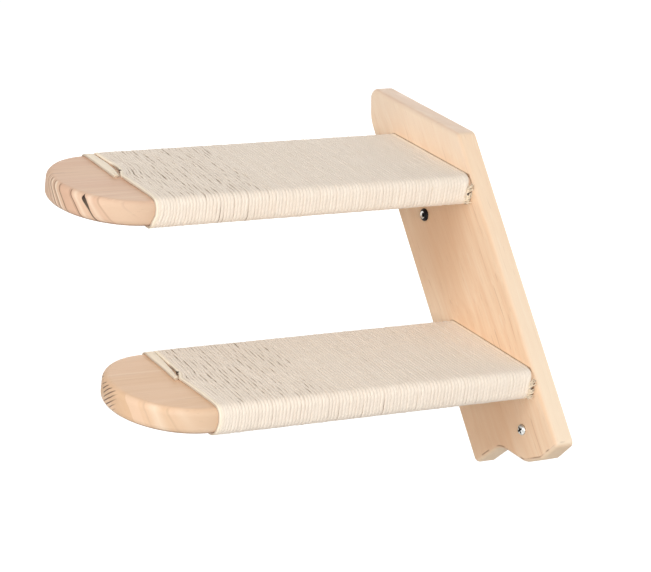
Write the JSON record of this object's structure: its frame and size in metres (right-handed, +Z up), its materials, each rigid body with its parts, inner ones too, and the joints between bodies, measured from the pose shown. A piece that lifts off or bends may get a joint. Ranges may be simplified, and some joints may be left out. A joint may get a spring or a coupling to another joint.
{
  "type": "cat wall steps",
  "caption": "Cat wall steps: round-nosed pine treads wound with sisal cord, standing out at different heights from a plate that leans across the wall.",
  "frame": {"origin": "centre of the plate's back face, midway between the two wall screws", "axes": "+Y goes into the wall, the treads reach out along -Y, +X is to the right seen from the room, +Z is up"},
  "size_m": [0.3454, 0.393, 0.2754],
  "materials": {
    "pine": "planed and sanded, matt",
    "sisal_cord": "rough twisted cord",
    "beech": "turned, unfinished",
    "black_steel": "glossy black",
    "zinc_steel": "zinc plated"
  },
  "bodies": {
    "root": {"back_plate": "pine", "upper_step_board": "pine", "lower_step_board": "pine", "upper_cord_wrap": "sisal_cord", "lower_cord_wrap": "sisal_cord", "upper_cord_tack_start": "black_steel", "upper_cord_tack_end": "black_steel", "upper_step_screw_1": "zinc_steel", "upper_step_screw_2": "zinc_steel", "upper_step_screw_3": "zinc_steel", "upper_dowel_1": "beech", "upper_dowel_2": "beech", "lower_cord_tack_start": "black_steel", "lower_cord_tack_end": "black_steel", "lower_step_screw_1": "zinc_steel", "lower_step_screw_2": "zinc_steel", "lower_step_screw_3": "zinc_steel", "lower_dowel_1": "beech", "lower_dowel_2": "beech", "upper_wall_screw": "black_steel", "lower_wall_screw": "zinc_steel"}
  },
  "joints": []
}
